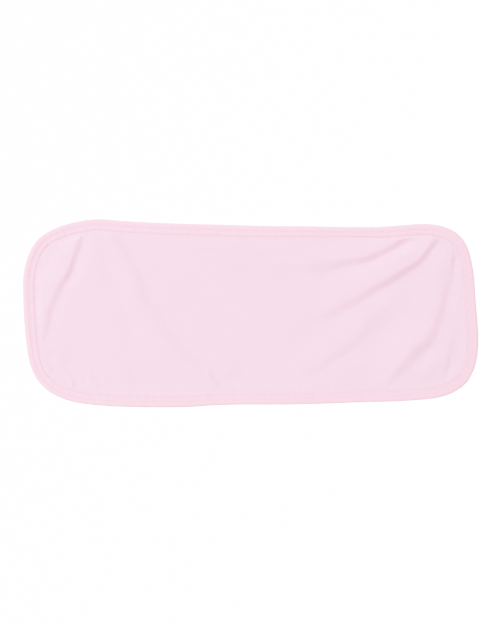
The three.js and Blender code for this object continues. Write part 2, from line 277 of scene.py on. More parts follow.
# Knit and mottling of the cloth: scales of the noises a metre, how far the wales wander, and the
# painted shade in its grooves and painted light on its high yarns, as shares of the cloth's colour
WALE_WANDER_SCALE = 60
WALE_WANDER = 1.2
FUZZ_SCALE = 1900
SOFT_SCALE = 34
BLOTCH_SCALE = 9
GROOVE_PAINTED_SHADE = (0.972, 0.935, 0.952)
HIGH_YARN_PAINTED_LIGHT = (1.012, 1.035, 1.025)
SHEEN_TINT = (1, 0.93, 0.96, 1)

# Studio, in metres: the floor and its grey and glow, the soft lamp, the place under the camera,
# and the width of its sensor in millimetres
FLOOR_HALF = 3.0
FLOOR_DROP = 0.0003
FLOOR_GREY = 0.93
FLOOR_GLOW = 0.34
KEY_PLACE = (-5.4, 2.6, 6.1)
KEY_SIZE = 5.1
CAMERA_OVER = (-0.0003, 0.0007)
SENSOR = 36

# The picture's bright end: the light that the curve ends at, then rows of light and tone shown
BRIGHTEST = 1.5
SHOULDER = (
    (0.60, 0.60),
    (0.76, 0.757),
    (0.88, 0.858),
    (1.03, 0.930),
    (1.22, 0.985),
    (1.34, 1.0),
)


# Curves and lines

def smooth(t):
    """Smooth step: 3 t squared less 2 t cubed, with t held between 0 and 1."""
    s = np.clip(t, 0, 1)
    return s * s * (3 - 2 * s)


def through(knots, closed, per_span=90):
    """Centripetal curve through knots: on each span the cubic whose end slopes come from the chords
    on either side, each chord weighted by the square root of its length."""
    knots = np.asarray(knots, float)
    if closed:
        before, start, end, after = (np.roll(knots, k, axis=0) for k in (1, 0, -1, -2))
    else:
        first, last = 2 * knots[0] - knots[1], 2 * knots[-1] - knots[-2]
        whole = np.vstack([first, knots, last])
        before, start, end, after = whole[:-3], whole[1:-2], whole[2:-1], whole[3:]
    root0, root1, root2 = (np.sqrt(np.linalg.norm(b - a, axis=1, keepdims=True))
                           for a, b in ((before, start), (start, end), (end, after)))
    slope1 = ((start - before) / root0 - (end - before) / (root0 + root1)
              + (end - start) / root1) * root1
    slope2 = ((end - start) / root1 - (after - start) / (root1 + root2)
              + (after - end) / root2) * root1
    u = np.linspace(0, 1, per_span, endpoint=False)[:, None, None]
    curve = (start + slope1 * u + (3 * (end - start) - 2 * slope1 - slope2) * u ** 2
             + (2 * (start - end) + slope1 + slope2) * u ** 3)
    curve = curve.transpose(1, 0, 2).reshape(-1, 2)
    return np.vstack([curve, curve[:1] if closed else knots[-1:]])


def run_of(line):
    """Length of a polyline up to each of its points."""
    return np.concatenate([[0], np.cumsum(np.linalg.norm(np.diff(line, axis=0), axis=1))])


def evenly(line, places):
    """Points of a polyline at shares of its length from 0 to 1."""
    run = run_of(line)
    return np.stack([np.interp(places * run[-1], run, line[:, k]) for k in (0, 1)], axis=-1)


def nearest_on_line(line, points, block=3000):
    """For each point the distance to a polyline, the side (+1 left, -1 right) and the share of the
    line's length at the nearest place. Each segment's nearest place is the dot product of the
    point's offset with the segment over the segment squared, held between 0 and 1."""
    start, step = line[:-1], np.diff(line, axis=0)
    square = (step ** 2).sum(1)
    found = []
    for part in np.array_split(points, max(1, len(points) // block)):
        offset = part[:, None, :] - start
        t = np.clip((offset * step).sum(2) / square, 0, 1)
        gap = np.linalg.norm(offset - t[..., None] * step, axis=2)
        best = gap.argmin(1)
        row = np.arange(len(part))
        turn = step[best, 0] * offset[row, best, 1] - step[best, 1] * offset[row, best, 0]
        side = np.where(turn < 0, -1.0, 1.0)
        found.append(np.stack([gap[row, best], side, (best + t[row, best]) / len(step)], axis=1))
    return np.concatenate(found).T


class Edge:
    """The closed outline and its binding, as tables along the edge. at() and place() read between
    their rows by straight lines."""

    ROWS = 4096

    def __init__(self, length, width):
        knots = np.array(sum(OUTLINE.values(), ()), float)
        line = through(knots, closed=True)
        low, high = line.min(0), line.max(0)
        self.centre, self.scale = (low + high) / 2, (length, width) / (high - low)
        line = through(self.fit(knots), closed=True)
        self.perimeter = run_of(line)[-1]
        self.share = np.arange(self.ROWS + 1) / self.ROWS
        points = evenly(line, self.share[:-1])
        tangent = np.roll(points, -1, axis=0) - np.roll(points, 1, axis=0)
        tangent /= np.linalg.norm(tangent, axis=1, keepdims=True)
        inward = np.stack([tangent[:, 1], -tangent[:, 0]], axis=1)
        width_here, roll, bead = self.rim(self.share[:-1])
        inset, height = outer_profile(bead[:, None])
        cos, sin = np.cos(roll)[:, None], np.sin(roll)[:, None]
        shift_in = -(inset * cos - height * sin).min(1)
        tables = {
            "x": points[:, 0], "y": points[:, 1], "inward_x": inward[:, 0], "inward_y": inward[:, 1],
            "width": width_here, "roll": roll, "bead": bead, "shift_in": shift_in,
        }
        self.tables = {name: np.append(table, table[0]) for name, table in tables.items()}

    def fit(self, points):
        """Points moved and scaled as the outline is, so that it spans exactly its size."""
        return (points - self.centre) * self.scale

    @staticmethod
    def rim(share):
        """Width, roll and bead height of the binding, eased between the rows of RIM."""
        marks = np.array([row[1:] for row in RIM], float)
        here = np.clip(np.searchsorted(marks[:, 0], share, side="right") - 1, 0, len(RIM) - 2)
        part = smooth((share - marks[here, 0]) / (marks[here + 1, 0] - marks[here, 0]))
        width, roll, bead = (
            marks[here, k] + part * (marks[here + 1, k] - marks[here, k]) for k in (1, 2, 3)
        )
        return width, np.radians(roll), bead

    def at(self, along, *names):
        """The named tables at shares of the edge: the point's x and y, the direction inward, and
        the binding's width, roll, bead height and shift in."""
        return [np.interp(np.mod(along, 1), self.share, self.tables[name]) for name in names]

    def width_at(self, along):
        """Width of the binding's face at shares of the edge."""
        return self.at(along, "width")[0]

    def place(self, along, inset, height):
        """A point of the cross-section, turned by the roll of the edge about its outer foot, moved
        in until the outermost point is on the outline, and set at its place along the edge."""
        x, y, inward_x, inward_y = self.at(along, "x", "y", "inward_x", "inward_y")
        roll, shift = self.at(along, "roll", "shift_in")
        out = inset * np.cos(roll) - height * np.sin(roll) + shift
        up = inset * np.sin(roll) + height * np.cos(roll)
        return np.stack(np.broadcast_arrays(x + inward_x * out, y + inward_y * out, up), axis=-1)


def outer_profile(bead):
    """Half ellipse of the binding's outer edge, from its foot to the bead's top, as insets and
    heights."""
    turn = np.linspace(0, np.pi, EDGE_POINTS)
    return EDGE_ROUND * (1 - np.sin(turn)), (BINDING_TOP + bead) / 2 * (1 - np.cos(turn))


# Heights

def pucker(along, inset):
    """Unevenness beside the stitching: a sum of sines round the edge, each slanting with the inset."""
    total = 0.0
    for number, (waves, height, slant) in enumerate(PUCKERS):
        drift = PUCKER_DRIFT * np.sin(TURN * (5 + 3 * number) * along + number)
        total = total + height * np.sin(TURN * (waves * along + slant * inset + drift) + 1.7 * number)
    return total


def swell(points):
    """Broad swells: a sum of raised sines, each running in its own direction."""
    total = 0.0
    for length, direction, height, phase in SWELLS:
        angle = np.radians(direction)
        run = points[:, 0] * np.cos(angle) + points[:, 1] * np.sin(angle)
        total = total + height * (0.5 + 0.5 * np.sin(TURN * (run / length + phase)))
    return total


def hump(across, run, tail):
    """A smooth climb to 1 over the run and a smooth fall back to 0 over the tail."""
    return smooth(across / run) * (1 - smooth((across - run) / tail))


def softly_higher(a, b, ease):
    """Smooth maximum of two heights: half their sum, plus half the root of their difference squared
    and the ease squared, less half the ease."""
    return (a + b + np.sqrt((a - b) ** 2 + ease ** 2) - ease) / 2


def fold_rise(edge, points, folds):
    """Height that the folds add. The distance from the crease is the distance from the path less
    half the wall's run. On the ridge's side the height is the rise times a climb over the wall and a
    fall over the tail, on the far side a share of it. The crease wanders a little from side to side,
    and its height varies along it."""
    total = np.zeros(len(points))
    slow, quick = WANDER_WAVES
    for number, (_, ridge_tail, (share, far_run, far_tail), path) in enumerate(folds):
        path = np.array(path, float)
        curve = through(edge.fit(path[:, :2]), closed=False, per_span=FOLD_STEPS)
        knot_share = run_of(curve)[::FOLD_STEPS] / run_of(curve)[-1]
        line = evenly(curve, np.linspace(0, 1, FOLD_STEPS + 1))
        distance, side, along = nearest_on_line(line, points)
        rise, run = (np.interp(along, knot_share, path[:, k]) for k in (2, 3))
        wave = np.sin(TURN * slow * along + 2 * number)
        wave = wave + SECOND_WAVE * np.sin(TURN * quick * along + number)
        from_crease = distance * side - run / 2 + FOLD_WANDER * wave * smooth(along / WANDER_START)
        ridge = hump(-from_crease, run, ridge_tail)
        far = share * hump(from_crease, far_run, far_tail)
        uneven = 1 + FOLD_UNEVEN * np.sin(TURN * UNEVEN_WAVES * along + 1.3 * number)
        total += rise * uneven * np.where(from_crease < 0, ridge, far)
    return total


def panel_heights(edge, points, lip_line):
    """Underside height and thickness of the panel at plan points. From the binding's lip the
    underside comes down in a soft roll, then only swells and folds raise it. Folds grow over a
    strip beside the lip, which widens to the left, puckers fade from the lip inwards, and the sheet
    is a little thinner where the binding grips it."""
    distance, _, along = nearest_on_line(lip_line, points)
    width, roll = edge.at(along, "width", "roll")
    lift = (width + LIP_CLEARANCE) * np.sin(roll) + GRIPPED_LOW * np.cos(roll)
    reach = SETTLE_BASE + SETTLE_PER_LIFT * lift
    s = np.minimum(distance / reach, 1)
    settle = lift * (1 - smooth(s)) + ROLL_CARRY * np.tan(roll) * reach * s * (1 - s) ** 2
    raised = softly_higher(settle, fold_rise(edge, points, FOLDS), FOLD_EASE)
    raised = raised + fold_rise(edge, points, FINE_FOLDS)
    leftward = smooth((LEFT_FROM - points[:, 0]) / LEFT_RUN)
    fold_free = FOLD_FREE_RIGHT + leftward * (FOLD_FREE_LEFT - FOLD_FREE_RIGHT)
    low = settle + smooth(distance / fold_free) * (raised - settle)
    low = low + smooth(distance / SWELL_EASE) * swell(points)
    ripple = PANEL_PUCKER_SHARE * pucker(along, width + distance) * np.exp(-distance / PANEL_PUCKER_REACH)
    ripple = ripple * smooth(distance / PANEL_PUCKER_START)
    thick = sizes().panel_thick / MM
    thinner = (thick - GRIPPED_THICK) * (1 - smooth(distance / FACE_EASE))
    return np.maximum(low + ripple, 0), thick - thinner


# Meshes

def sizes():
    """The cloth's settings, in metres."""
    return bpy.context.scene.burp_cloth_sizes


def colours():
    """The cloth's colours."""
    return bpy.context.scene.burp_cloth_colours


def studio():
    """The settings of the light and the camera."""
    return bpy.context.scene.burp_cloth_studio


def mesh_piece(name, points, faces, material, corner_uv=None):
    """A smooth-shaded mesh object at the origin from points in millimetres and faces that point out."""
    mesh = bpy.data.meshes.new(name)
    mesh.from_pydata((points * MM).tolist(), [], faces)
    mesh.polygons.foreach_set("use_smooth", np.ones(len(mesh.polygons), bool))
    if corner_uv is not None:
        layer = mesh.uv_layers.new(name="along_and_across")
        layer.data.foreach_set("uv", corner_uv.astype(np.float32).ravel())
    mesh.materials.append(material)
    mesh.update()
    piece = bpy.data.objects.new(name, mesh)
    bpy.context.scene.collection.objects.link(piece)
    return piece


def wrapped_quads(rows, count, close_rows, close_count):
    """Quads of a grid of points numbered row by row, closed round either way where asked."""
    i = np.arange(rows if close_rows else rows - 1)[:, None]
    j = np.arange(count if close_count else count - 1)[None, :]
    i2, j2 = (i + 1) % rows, (j + 1) % count
    quads = [i * count + j, i * count + j2, i2 * count + j2, i2 * count + j]
    return np.stack(np.broadcast_arrays(*quads), axis=-1).reshape(-1, 4)


def shell_grid(rim, cells_long, cells_wide):
    """Plan points of a grid inside a closed rim of 2 (long + wide) points: a place (a, b) on a
    square, at share r of its half side, lies r of the way from the middle to the rim point in its
    direction. Returns the points and, for each border point, the number of its rim point, else -1."""
    a, b = np.meshgrid(np.linspace(-1, 1, cells_long + 1), np.linspace(1, -1, cells_wide + 1))
    r = np.maximum(np.maximum(np.abs(a), np.abs(b)), 1e-9)
    top, right, bottom = b >= r - 1e-12, a >= r - 1e-12, b <= -r + 1e-12
    place = np.select(
        [top, right, bottom],
        [cells_long * (a / r + 1) / 2,
         cells_long + cells_wide * (1 - b / r) / 2,
         cells_long + cells_wide + cells_long * (1 - a / r) / 2],
        2 * cells_long + cells_wide + cells_wide * (b / r + 1) / 2,
    )
    count = len(rim)
    closed = np.vstack([rim, rim[:1]])
    station = np.arange(count + 1)
    border = np.stack([np.interp(place % count, station, closed[:, k]) for k in (0, 1)], axis=-1)
    middle = rim.mean(0)
    points = middle + r[..., None] * (border - middle)
    edge_number = np.where(r > 1 - 1e-9, np.rint(place).astype(int) % count, -1)
    return points, edge_number


def panel_side(edge, cells_long, cells_wide, bands, upper):
    """One side of the panel: lines of points in the slot and beside the lip, then the shell grid.
    Returns the points, outermost line first, and its faces, clockwise from above."""
    count = 2 * (cells_long + cells_wide)
    along = np.arange(count) / count
    inward_x, inward_y, width = edge.at(along, "inward_x", "inward_y", "width")
    gripped = GRIPPED_HIGH if upper else GRIPPED_LOW
    lines = [edge.place(along, inset, gripped) for inset in (SLOT_END + GAP, width * GRIPPED_MIDDLE)]
    lip = edge.place(along, width + LIP_CLEARANCE, GRIPPED_LOW)[:, :2]
    inward = np.stack([inward_x, inward_y], axis=1)
    plans = [lip + inward * (band - LIP_CLEARANCE) for band in bands]
    grid, border = shell_grid(plans[-1], cells_long, cells_wide)
    inner = grid[border < 0]
    plan = np.vstack(plans + [inner])
    lip_share = np.arange(LIP_STEPS + 1) / LIP_STEPS
    lip_line = edge.place(lip_share, edge.width_at(lip_share) + LIP_CLEARANCE, GRIPPED_LOW)[:, :2]
    low, thick = panel_heights(edge, plan, lip_line)
    free = np.column_stack([plan, low + thick if upper else low])
    points = np.vstack(lines + [free])

    ring_lines = len(lines) + len(bands)
    rings = wrapped_quads(ring_lines, count, False, True)
    number = np.where(border >= 0, (ring_lines - 1) * count + border, 0)
    number[border < 0] = ring_lines * count + np.arange(len(inner))
    cells = np.stack([number[:-1, :-1], number[:-1, 1:], number[1:, 1:], number[1:, :-1]], axis=-1)
    return points, np.vstack([rings, cells.reshape(-1, 4)])


def make_panel():
    """Closed panel: a fine upper side and a lower side with half as many cells each way, joined at
    the hidden edge by three triangles to each coarse step."""
    edge = Edge(LENGTH, WIDTH)
    long, wide = sizes().cells_long, sizes().cells_wide
    top_points, top_faces = panel_side(edge, 2 * long, 2 * wide, BESIDE_LIP, upper=True)
    low_points, low_faces = panel_side(edge, long, wide, BESIDE_LIP[::2], upper=False)
    coarse = 2 * (long + wide)
    step = np.arange(coarse)
    shift = len(top_points)
    low, low_next = shift + step, shift + (step + 1) % coarse
    top, top_half, top_next = 2 * step, 2 * step + 1, (2 * step + 2) % (2 * coarse)
    rim = np.vstack([
        np.stack([top, top_half, low], axis=1),
        np.stack([top_half, low_next, low], axis=1),
        np.stack([top_half, top_next, low_next], axis=1),
    ])
    faces = top_faces[:, ::-1].tolist() + (low_faces + shift).tolist() + rim.tolist()
    return mesh_piece("panel_cloth", np.vstack([top_points, low_points]), faces, panel_finish())


def bell(x, half):
    """Bell curve: e to the minus square of x over its half width."""
    return np.exp(-((x / half) ** 2))


def binding_top(edge, along, inset):
    """Height of the binding's upper face: a bead along the outer edge that steps down at the outer
    row, over a longer run where it is high, two dips at the needle rows, a puff between them, a
    fall to the lip, and puckers that are strongest on the puff."""
    width, bead_high = edge.at(along, "width", "bead")
    inner_row = width - INNER_ROW_FROM_LIP
    middle = (OUTER_ROW_INSET + inner_row) / 2
    dips = bell(inset - OUTER_ROW_INSET, DIP_HALF) + bell(inset - inner_row, DIP_HALF)
    puff = bell(inset - middle, PUFF_HALF)
    ease = smooth((inset - EDGE_ROUND * 0.3) / EDGE_ROUND)
    step_run = STEP_RUN + STEP_RUN_PER_BEAD * np.maximum(bead_high - LOW_BEAD, 0)
    bead = bead_high * (1 - smooth((inset - OUTER_ROW_INSET + STEP_BEFORE_ROW) / step_run))
    lip_fall = LIP_FALL * smooth((inset - inner_row + LIP_FALL_BEFORE_ROW) / LIP_FALL_RUN)
    ripple = (PUCKER_ALL_OVER + PUCKER_ON_PUFF * puff) * pucker(along, inset)
    puff_up, dip_down = sizes().puff / MM, sizes().row_dip / MM
    return BINDING_TOP + bead - lip_fall + ease * (puff_up * puff - dip_down * dips + ripple)


def binding_bottom(inset, width):
    """Height of the binding's lower face: a hollow between the rows, where the looping thread lies."""
    inner_row = width - INNER_ROW_FROM_LIP
    past_outer = smooth((inset - OUTER_ROW_INSET + HOLLOW_PAST_OUTER) / HOLLOW_OUTER_RUN)
    before_inner = smooth((inner_row + HOLLOW_PAST_INNER - inset) / HOLLOW_INNER_RUN)
    return HOLLOW * past_outer * before_inner


def steps_to(start, end, steps):
    """Even steps from start up to end, without end itself."""
    return start + (end - start) * np.linspace(0, 1, steps, endpoint=False)


def binding_section(edge, along):
    """Insets and heights of the binding's closed section, from the lip under the cloth, round the
    outer half ellipse, over the top to the folded lip, and back through the slot that holds the
    panel. The lip's two layers each end in a half round."""
    width, bead_high = edge.at(along, "width", "bead")
    level = np.zeros_like(width)
    inner_row = width - INNER_ROW_FROM_LIP
    fold_round = STRIP_THICK / 2
    lip = width - fold_round
    bottom_in = np.hstack([
        steps_to(lip, OUTER_ROW_INSET, 7),
        steps_to(OUTER_ROW_INSET, EDGE_ROUND, 3) + level,
    ])
    outer_in, outer_up = (v[..., 1:-1] + level for v in outer_profile(bead_high))
    top_in = np.hstack([
        steps_to(EDGE_ROUND, OUTER_ROW_INSET, 5) + level,
        steps_to(OUTER_ROW_INSET, inner_row, 10),
        steps_to(inner_row, lip, 2),
    ])
    top_up = binding_top(edge, along, top_in)
    turn = np.linspace(0, np.pi, 5)
    end_in = lip + fold_round * np.sin(turn)
    end_up = SLOT_ROOF + (binding_top(edge, along, lip) - SLOT_ROOF) / 2 * (1 + np.cos(turn))
    slot_in = np.hstack([
        steps_to(lip, SLOT_END, 4)[:, 1:],
        SLOT_END + level,
        SLOT_END + level,
        steps_to(SLOT_END, lip, 4)[:, 1:],
    ])
    slot_up = np.array([SLOT_ROOF] * 4 + [SLOT_FLOOR] * 4) + level
    under_in = lip + fold_round * np.sin(turn[:-1])
    under_up = SLOT_FLOOR / 2 * (1 + np.cos(turn[:-1])) + level
    inset = np.hstack([bottom_in, outer_in, top_in, end_in, slot_in, under_in])
    bottom_up = binding_bottom(bottom_in, width)
    height = np.hstack([bottom_up, outer_up, top_up, end_up, slot_up, under_up])
    return inset, height


def strip_map(edge, inset, height):
    """The binding's own map in metres, for the corners of its quads: along the edge by the share of
    the perimeter, and across by the mean length of the section up to each of its points."""
    stations, rows = inset.shape
    step = np.hypot(np.diff(inset, axis=1, append=inset[:, :1]),
                    np.diff(height, axis=1, append=height[:, :1])).mean(0)
    across = np.concatenate([[0], np.cumsum(step)]) * MM
    lengthwise = np.arange(stations + 1) / stations * edge.perimeter * MM
    i, j = np.meshgrid(np.arange(stations), np.arange(rows), indexing="ij")
    u = np.stack([lengthwise[i], lengthwise[i], lengthwise[i + 1], lengthwise[i + 1]], axis=-1)
    v = np.stack([across[j], across[j + 1], across[j + 1], across[j]], axis=-1)
    return np.stack([u, v], axis=-1).reshape(-1, 2)


def make_binding():
    """Closed ring: the binding's section, carried round the edge through every station."""
    edge = Edge(LENGTH, WIDTH)
    stations = sizes().stations
    along = (np.arange(stations) / stations)[:, None]
    inset, height = binding_section(edge, along)
    points = edge.place(along, inset, height).reshape(-1, 3)
    faces = wrapped_quads(stations, inset.shape[1], True, True)
    corner_uv = strip_map(edge, inset, height)
    return mesh_piece("bound_edge", points, faces.tolist(), binding_finish(), corner_uv)


def stitch_count(edge):
    """Whole number of stitches round the edge."""
    return round(edge.perimeter / (sizes().stitch_length / MM))


def stitches(name, edge, row_inset, sides=6, rings=5):
    """A row of stitches on the binding's face. Each is a short tube round a line that follows the
    row. It is bowed up in the middle by a power of half a sine, and thinner at its ends, where it
    enters the cloth."""
    count = stitch_count(edge)
    radius = sizes().thread / MM / 2
    start = np.arange(count)[:, None, None] / count
    t = np.linspace(0, 1, rings)[None, :, None]
    turn = (np.arange(sides) / sides * TURN)[None, None, :]
    along = start + (STITCH_APART + (1 - 2 * STITCH_APART) * t) / count
    inset = row_inset(edge.width_at(along)) + ROW_WANDER * np.sin(TURN * ROW_WANDER_WAVES * start)
    bow = np.sin(np.pi * t)
    thick = radius * (STITCH_END_SHARE + (1 - STITCH_END_SHARE) * bow)
    middle = binding_top(edge, along, inset) - STITCH_SUNK + STITCH_BOW * bow ** STITCH_BOW_POWER
    up = middle + thick * np.sin(turn)
    points = edge.place(along, inset + thick * np.cos(turn), up).reshape(-1, 3)
    tube = wrapped_quads(rings, sides, False, True)
    shift = (np.arange(count) * rings * sides)[:, None, None]
    tubes = (tube[None] + shift).reshape(-1, 4).tolist()
    first_ends = (np.arange(sides)[None, :] + shift[:, 0]).tolist()
    last_ends = (np.arange(sides)[::-1][None, :] + shift[:, 0] + (rings - 1) * sides).tolist()
    return mesh_piece(name, points, tubes + first_ends + last_ends, thread_finish())


def looper(name, edge, sides=4):
    """Looping thread under the binding: one closed tube round a line that swings between the two
    rows by a cosine, once for every stitch."""
    count = stitch_count(edge)
    rings = count * LOOPER_STEPS
    along = (np.arange(rings) / rings)[:, None]
    inner_row = edge.width_at(along) - INNER_ROW_FROM_LIP
    swing = 0.5 - 0.5 * np.cos(TURN * count * along)
    turn = (np.arange(sides) / sides * TURN)[None, :]
    inset = OUTER_ROW_INSET + (inner_row - OUTER_ROW_INSET) * swing + LOOPER_RADIUS * np.cos(turn)
    points = edge.place(along, inset, LOOPER_HEIGHT + LOOPER_RADIUS * np.sin(turn)).reshape(-1, 3)
    faces = wrapped_quads(rings, sides, True, True)
    return mesh_piece(name, points, faces[:, ::-1].tolist(), thread_finish())


# Materials

class Signal:
    """A number on a shader socket, with arithmetic that adds Math nodes."""

    def __init__(self, finish, socket):
        self.finish = finish
        self.socket = socket

    def __add__(self, other):
        return self.finish.math("ADD", self, other)

    def __sub__(self, other):
        return self.finish.math("SUBTRACT", self, other)

    def __rsub__(self, other):
        return self.finish.math("SUBTRACT", other, self)

    def __mul__(self, other):
        return self.finish.math("MULTIPLY", self, other)

    __radd__ = __add__
    __rmul__ = __mul__


class Finish:
    """A material's nodes. node() adds one of any type, and math() a Math node."""

    def __init__(self, name):
        self.material = bpy.data.materials.new(name)
        self.material.use_nodes = True
        self.tree = self.material.node_tree
        self.shader = self.tree.nodes["Principled BSDF"]

    def node(self, kind, settings=None, inputs=None):
        """A node of any type, with its settings put first and then its inputs."""
        made = self.tree.nodes.new(kind)
        for key, value in (settings or {}).items():
            setattr(made, key, value)
        for key, value in (inputs or {}).items():
            self.feed(made.inputs[key], value)
        return made

    def feed(self, socket, value):
        """Link a socket to a value that varies, or set it to one that doesn't."""
        if isinstance(value, Signal):
            value = value.socket
        if isinstance(value, bpy.types.NodeSocket):
            self.tree.links.new(value, socket)
        else:
            socket.default_value = value

    def math(self, operation, *values):
        """The result of a Math node on numbers or signals."""
        made = self.node("ShaderNodeMath", {"operation": operation}, dict(enumerate(values)))
        return Signal(self, made.outputs[0])

    def scaled(self, vector, scale):
        """A vector with its three parts multiplied by the same number."""
        made = self.node("ShaderNodeMapping", {"vector_type": "POINT"},
                         {"Vector": vector, "Scale": (scale, scale, scale)})
        return made.outputs["Vector"]

    def noise(self, vector, scale, detail):
        """A noise between 0 and 1, with about as many humps to a unit of the vector as its scale."""
        made = self.node("ShaderNodeTexNoise", None, {"Vector": vector, "Scale": scale, "Detail": detail})
        return Signal(self, made.outputs["Fac"])

    def between(self, low, high, factor):
        """Mix of two colours by a factor."""
        made = self.node("ShaderNodeMix", {"data_type": "RGBA"},
                         {"Factor": factor, "A": (*low, 1), "B": (*high, 1)})
        return made.outputs["Result"]


def knit(finish, vector, wale, course, lean):
    """Height of a plain knit, 0 to 1: in each wale the yarn runs in V shapes, so the height is a
    sine of the courses that leans with the distance from the wale's middle. It falls off to a deep
    groove between wales by the cube of that distance, and to a shallow one in the wale's middle.
    vector is in metres, with the wales running along its first axis."""
    axes = finish.node("ShaderNodeSeparateXYZ", None, {"Vector": vector})
    run, across = (Signal(finish, axes.outputs[k]) for k in (0, 1))
    wander = finish.noise(finish.scaled(vector, WALE_WANDER_SCALE), 1.0, 1.0) - 0.5
    column = finish.math("FRACT", across * (1 / (wale * MM)) + wander * WALE_WANDER) - 0.5
    side = finish.math("ABSOLUTE", column) * 2
    phase = run * (1 / (course * MM)) + side * lean
    yarn = finish.math("SINE", phase * TURN) * 0.5 + 0.5
    groove = 1 - finish.math("POWER", side, 3.0)
    middle = finish.math("SMOOTH_MIN", side * 3.0, 1.0, 0.3)
    return groove * (yarn * 0.6 + 0.4) * (middle * 0.35 + 0.65)


def cloth_finish(name, colour, vector_of, wale, course, relief):
    """Matte cotton knit: the knit pattern and fine fuzz as bump, soft mottling of the colour, painted
    shade that darkens the knit's grooves, painted light on its high yarns, and a light sheen."""
    finish = Finish(name)
    vector = vector_of(finish)
    pattern = knit(finish, vector, wale, course, lean=0.55)
    fuzz = finish.noise(vector, FUZZ_SCALE, 3.0)
    soft = finish.noise(vector, SOFT_SCALE, 2.0)
    blotch = finish.noise(vector, BLOTCH_SCALE, 1.0)
    # Colour mix: painted shade and painted light that follow the knit's height, with random mottling from
    # the noises
    shade = pattern * 0.30 + fuzz * 0.25 + soft * 0.3 + blotch * 0.15
    # deep is the painted shade colour of the knit's grooves, and pale the painted light colour of its high
    # yarns
    deep = tuple(c * f for c, f in zip(colour, GROOVE_PAINTED_SHADE))
    pale = tuple(min(c * f, 1) for c, f in zip(colour, HIGH_YARN_PAINTED_LIGHT))
    finish.feed(finish.shader.inputs["Base Color"], finish.between(deep, pale, shade))
    finish.feed(finish.shader.inputs["Roughness"], 0.96 - pattern * 0.10)
    height = pattern * 0.75 + fuzz * 0.25
    bump = finish.node("ShaderNodeBump", None, {"Strength": 1.0, "Distance": relief * MM, "Height": height})
    finish.feed(finish.shader.inputs["Normal"], bump.outputs["Normal"])
    finish.shader.inputs["Specular IOR Level"].default_value = 0.22
    finish.shader.inputs["Sheen Weight"].default_value = 0.16
    finish.shader.inputs["Sheen Roughness"].default_value = 0.5
    finish.shader.inputs["Sheen Tint"].default_value = SHEEN_TINT
    return finish.material


def object_place(finish):
    """Place on the piece, in metres."""
    return finish.node("ShaderNodeTexCoord").outputs["Object"]


def across_first(finish):
    """The binding's own map with across first, so that its wales run across the strip."""
    own_map = finish.node("ShaderNodeTexCoord").outputs["UV"]
    axes = finish.node("ShaderNodeSeparateXYZ", None, {"Vector": own_map})
    turned = finish.node("ShaderNodeCombineXYZ", None, {"X": axes.outputs["Y"], "Y": axes.outputs["X"]})
    return turned.outputs["Vector"]


def panel_finish():
    """The panel's knit, with its wales along the cloth."""
    return cloth_finish("panel_knit", colours().panel, object_place, wale=0.95, course=0.78, relief=0.16)


def binding_finish():
    """The binding's slightly coarser knit, with its wales across the strip."""
    return cloth_finish("binding_knit", colours().binding, across_first, wale=1.05, course=0.8, relief=0.2)


def thread_finish():
    """Spun sewing thread: fine slanting twist as bump, painted shade in the twist's grooves, and a soft
    shine.
    """
    known = bpy.data.materials.get("sewing_thread")
    if known:
        return known
    finish = Finish("sewing_thread")
    vector = object_place(finish)
    twist = finish.node("ShaderNodeTexWave", {"wave_type": "BANDS", "bands_direction": "DIAGONAL"},
                        {"Vector": vector, "Scale": 1500.0, "Distortion": 1.0})
    band = Signal(finish, twist.outputs["Fac"])
    colour = colours().thread
    # deep is painted shade: the thread's colour is darker where its twist is low
    deep = tuple(c * 0.9 for c in colour)
    finish.feed(finish.shader.inputs["Base Color"], finish.between(deep, tuple(colour), band * 0.6 + 0.4))
    finish.feed(finish.shader.inputs["Roughness"], 0.62 - band * 0.12)
    bump = finish.node("ShaderNodeBump", None, {"Strength": 0.6, "Distance": 0.05 * MM, "Height": band})
    finish.feed(finish.shader.inputs["Normal"], bump.outputs["Normal"])
    finish.shader.inputs["Sheen Weight"].default_value = 0.2
    return finish.material


# Settings that a user would change

class BurpClothSizes(bpy.types.PropertyGroup):
    """Thicknesses, stitches and the fineness of the meshes"""
    panel_thick: FloatProperty(name="Panel thickness", description="Thickness of the knitted panel",
                               default=1.95 * MM, unit="LENGTH")
    puff: FloatProperty(name="Binding puff", description="Rise of the binding between its needle rows",
                        default=0.05 * MM, unit="LENGTH")
    row_dip: FloatProperty(name="Row dip", description="How far the stitches pull the binding down",
                           default=0.05 * MM, unit="LENGTH")
    stitch_length: FloatProperty(name="Stitch length", description="Length of one stitch",
                                 default=2.6 * MM, unit="LENGTH")
    thread: FloatProperty(name="Thread", description="Diameter of the sewing thread",
                          default=0.42 * MM, unit="LENGTH")
    cells_long: IntProperty(name="Cells along", description="Cells of the panel's lower side along it",
                            default=196)
    cells_wide: IntProperty(name="Cells across", description="Cells of the panel's lower side across it",
                            default=80)
    stations: IntProperty(name="Binding stations", description="Sections of the binding round the edge",
                          default=1400)


class BurpClothColours(bpy.types.PropertyGroup):
    """Colours of the cloth and the thread"""
    panel: FloatVectorProperty(name="Panel", description="Colour of the panel", subtype="COLOR",
                               default=(0.781, 0.563, 0.645), min=0, max=1)
    binding: FloatVectorProperty(name="Binding", description="Colour of the binding", subtype="COLOR",
                                 default=(0.820, 0.568, 0.640), min=0, max=1)
    thread: FloatVectorProperty(name="Thread", description="Colour of the sewing thread",
                                subtype="COLOR", default=(0.79, 0.548, 0.622), min=0, max=1)


